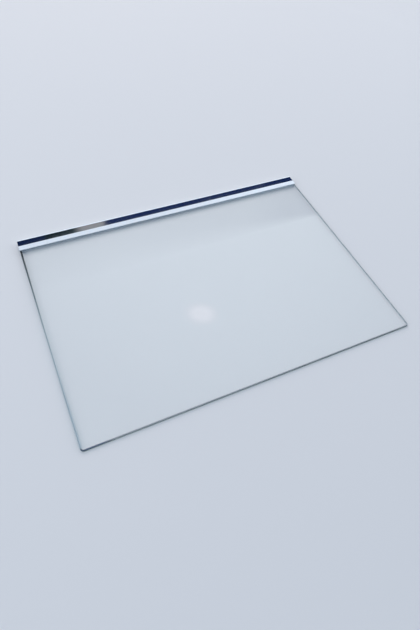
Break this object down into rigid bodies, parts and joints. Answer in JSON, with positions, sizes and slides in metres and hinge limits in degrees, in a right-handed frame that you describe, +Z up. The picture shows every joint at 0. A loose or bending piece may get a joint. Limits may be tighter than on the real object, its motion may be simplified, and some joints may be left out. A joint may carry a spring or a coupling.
{
  "type": "fridge glass shelf",
  "caption": "Rectangular clear glass shelf for a refrigerator, with a white extruded trim along its front edge and a mirror-bright strip let into the top of the trim.",
  "frame": {"origin": "under the middle of the shelf's box, level with the underside of the front trim", "axes": "+X across the shelf, +Y from the front trim to the bare rear edge, +Z up, square to the pane"},
  "size_m": [0.47, 0.3416, 0.007],
  "materials": {
    "clear_glass": "clear, polished",
    "white_plastic": "gloss, extruded",
    "bright_chrome": "mirror"
  },
  "bodies": {
    "root": {"glass_pane": "clear_glass", "front_trim": "white_plastic", "chrome_strip": "bright_chrome"}
  },
  "joints": []
}
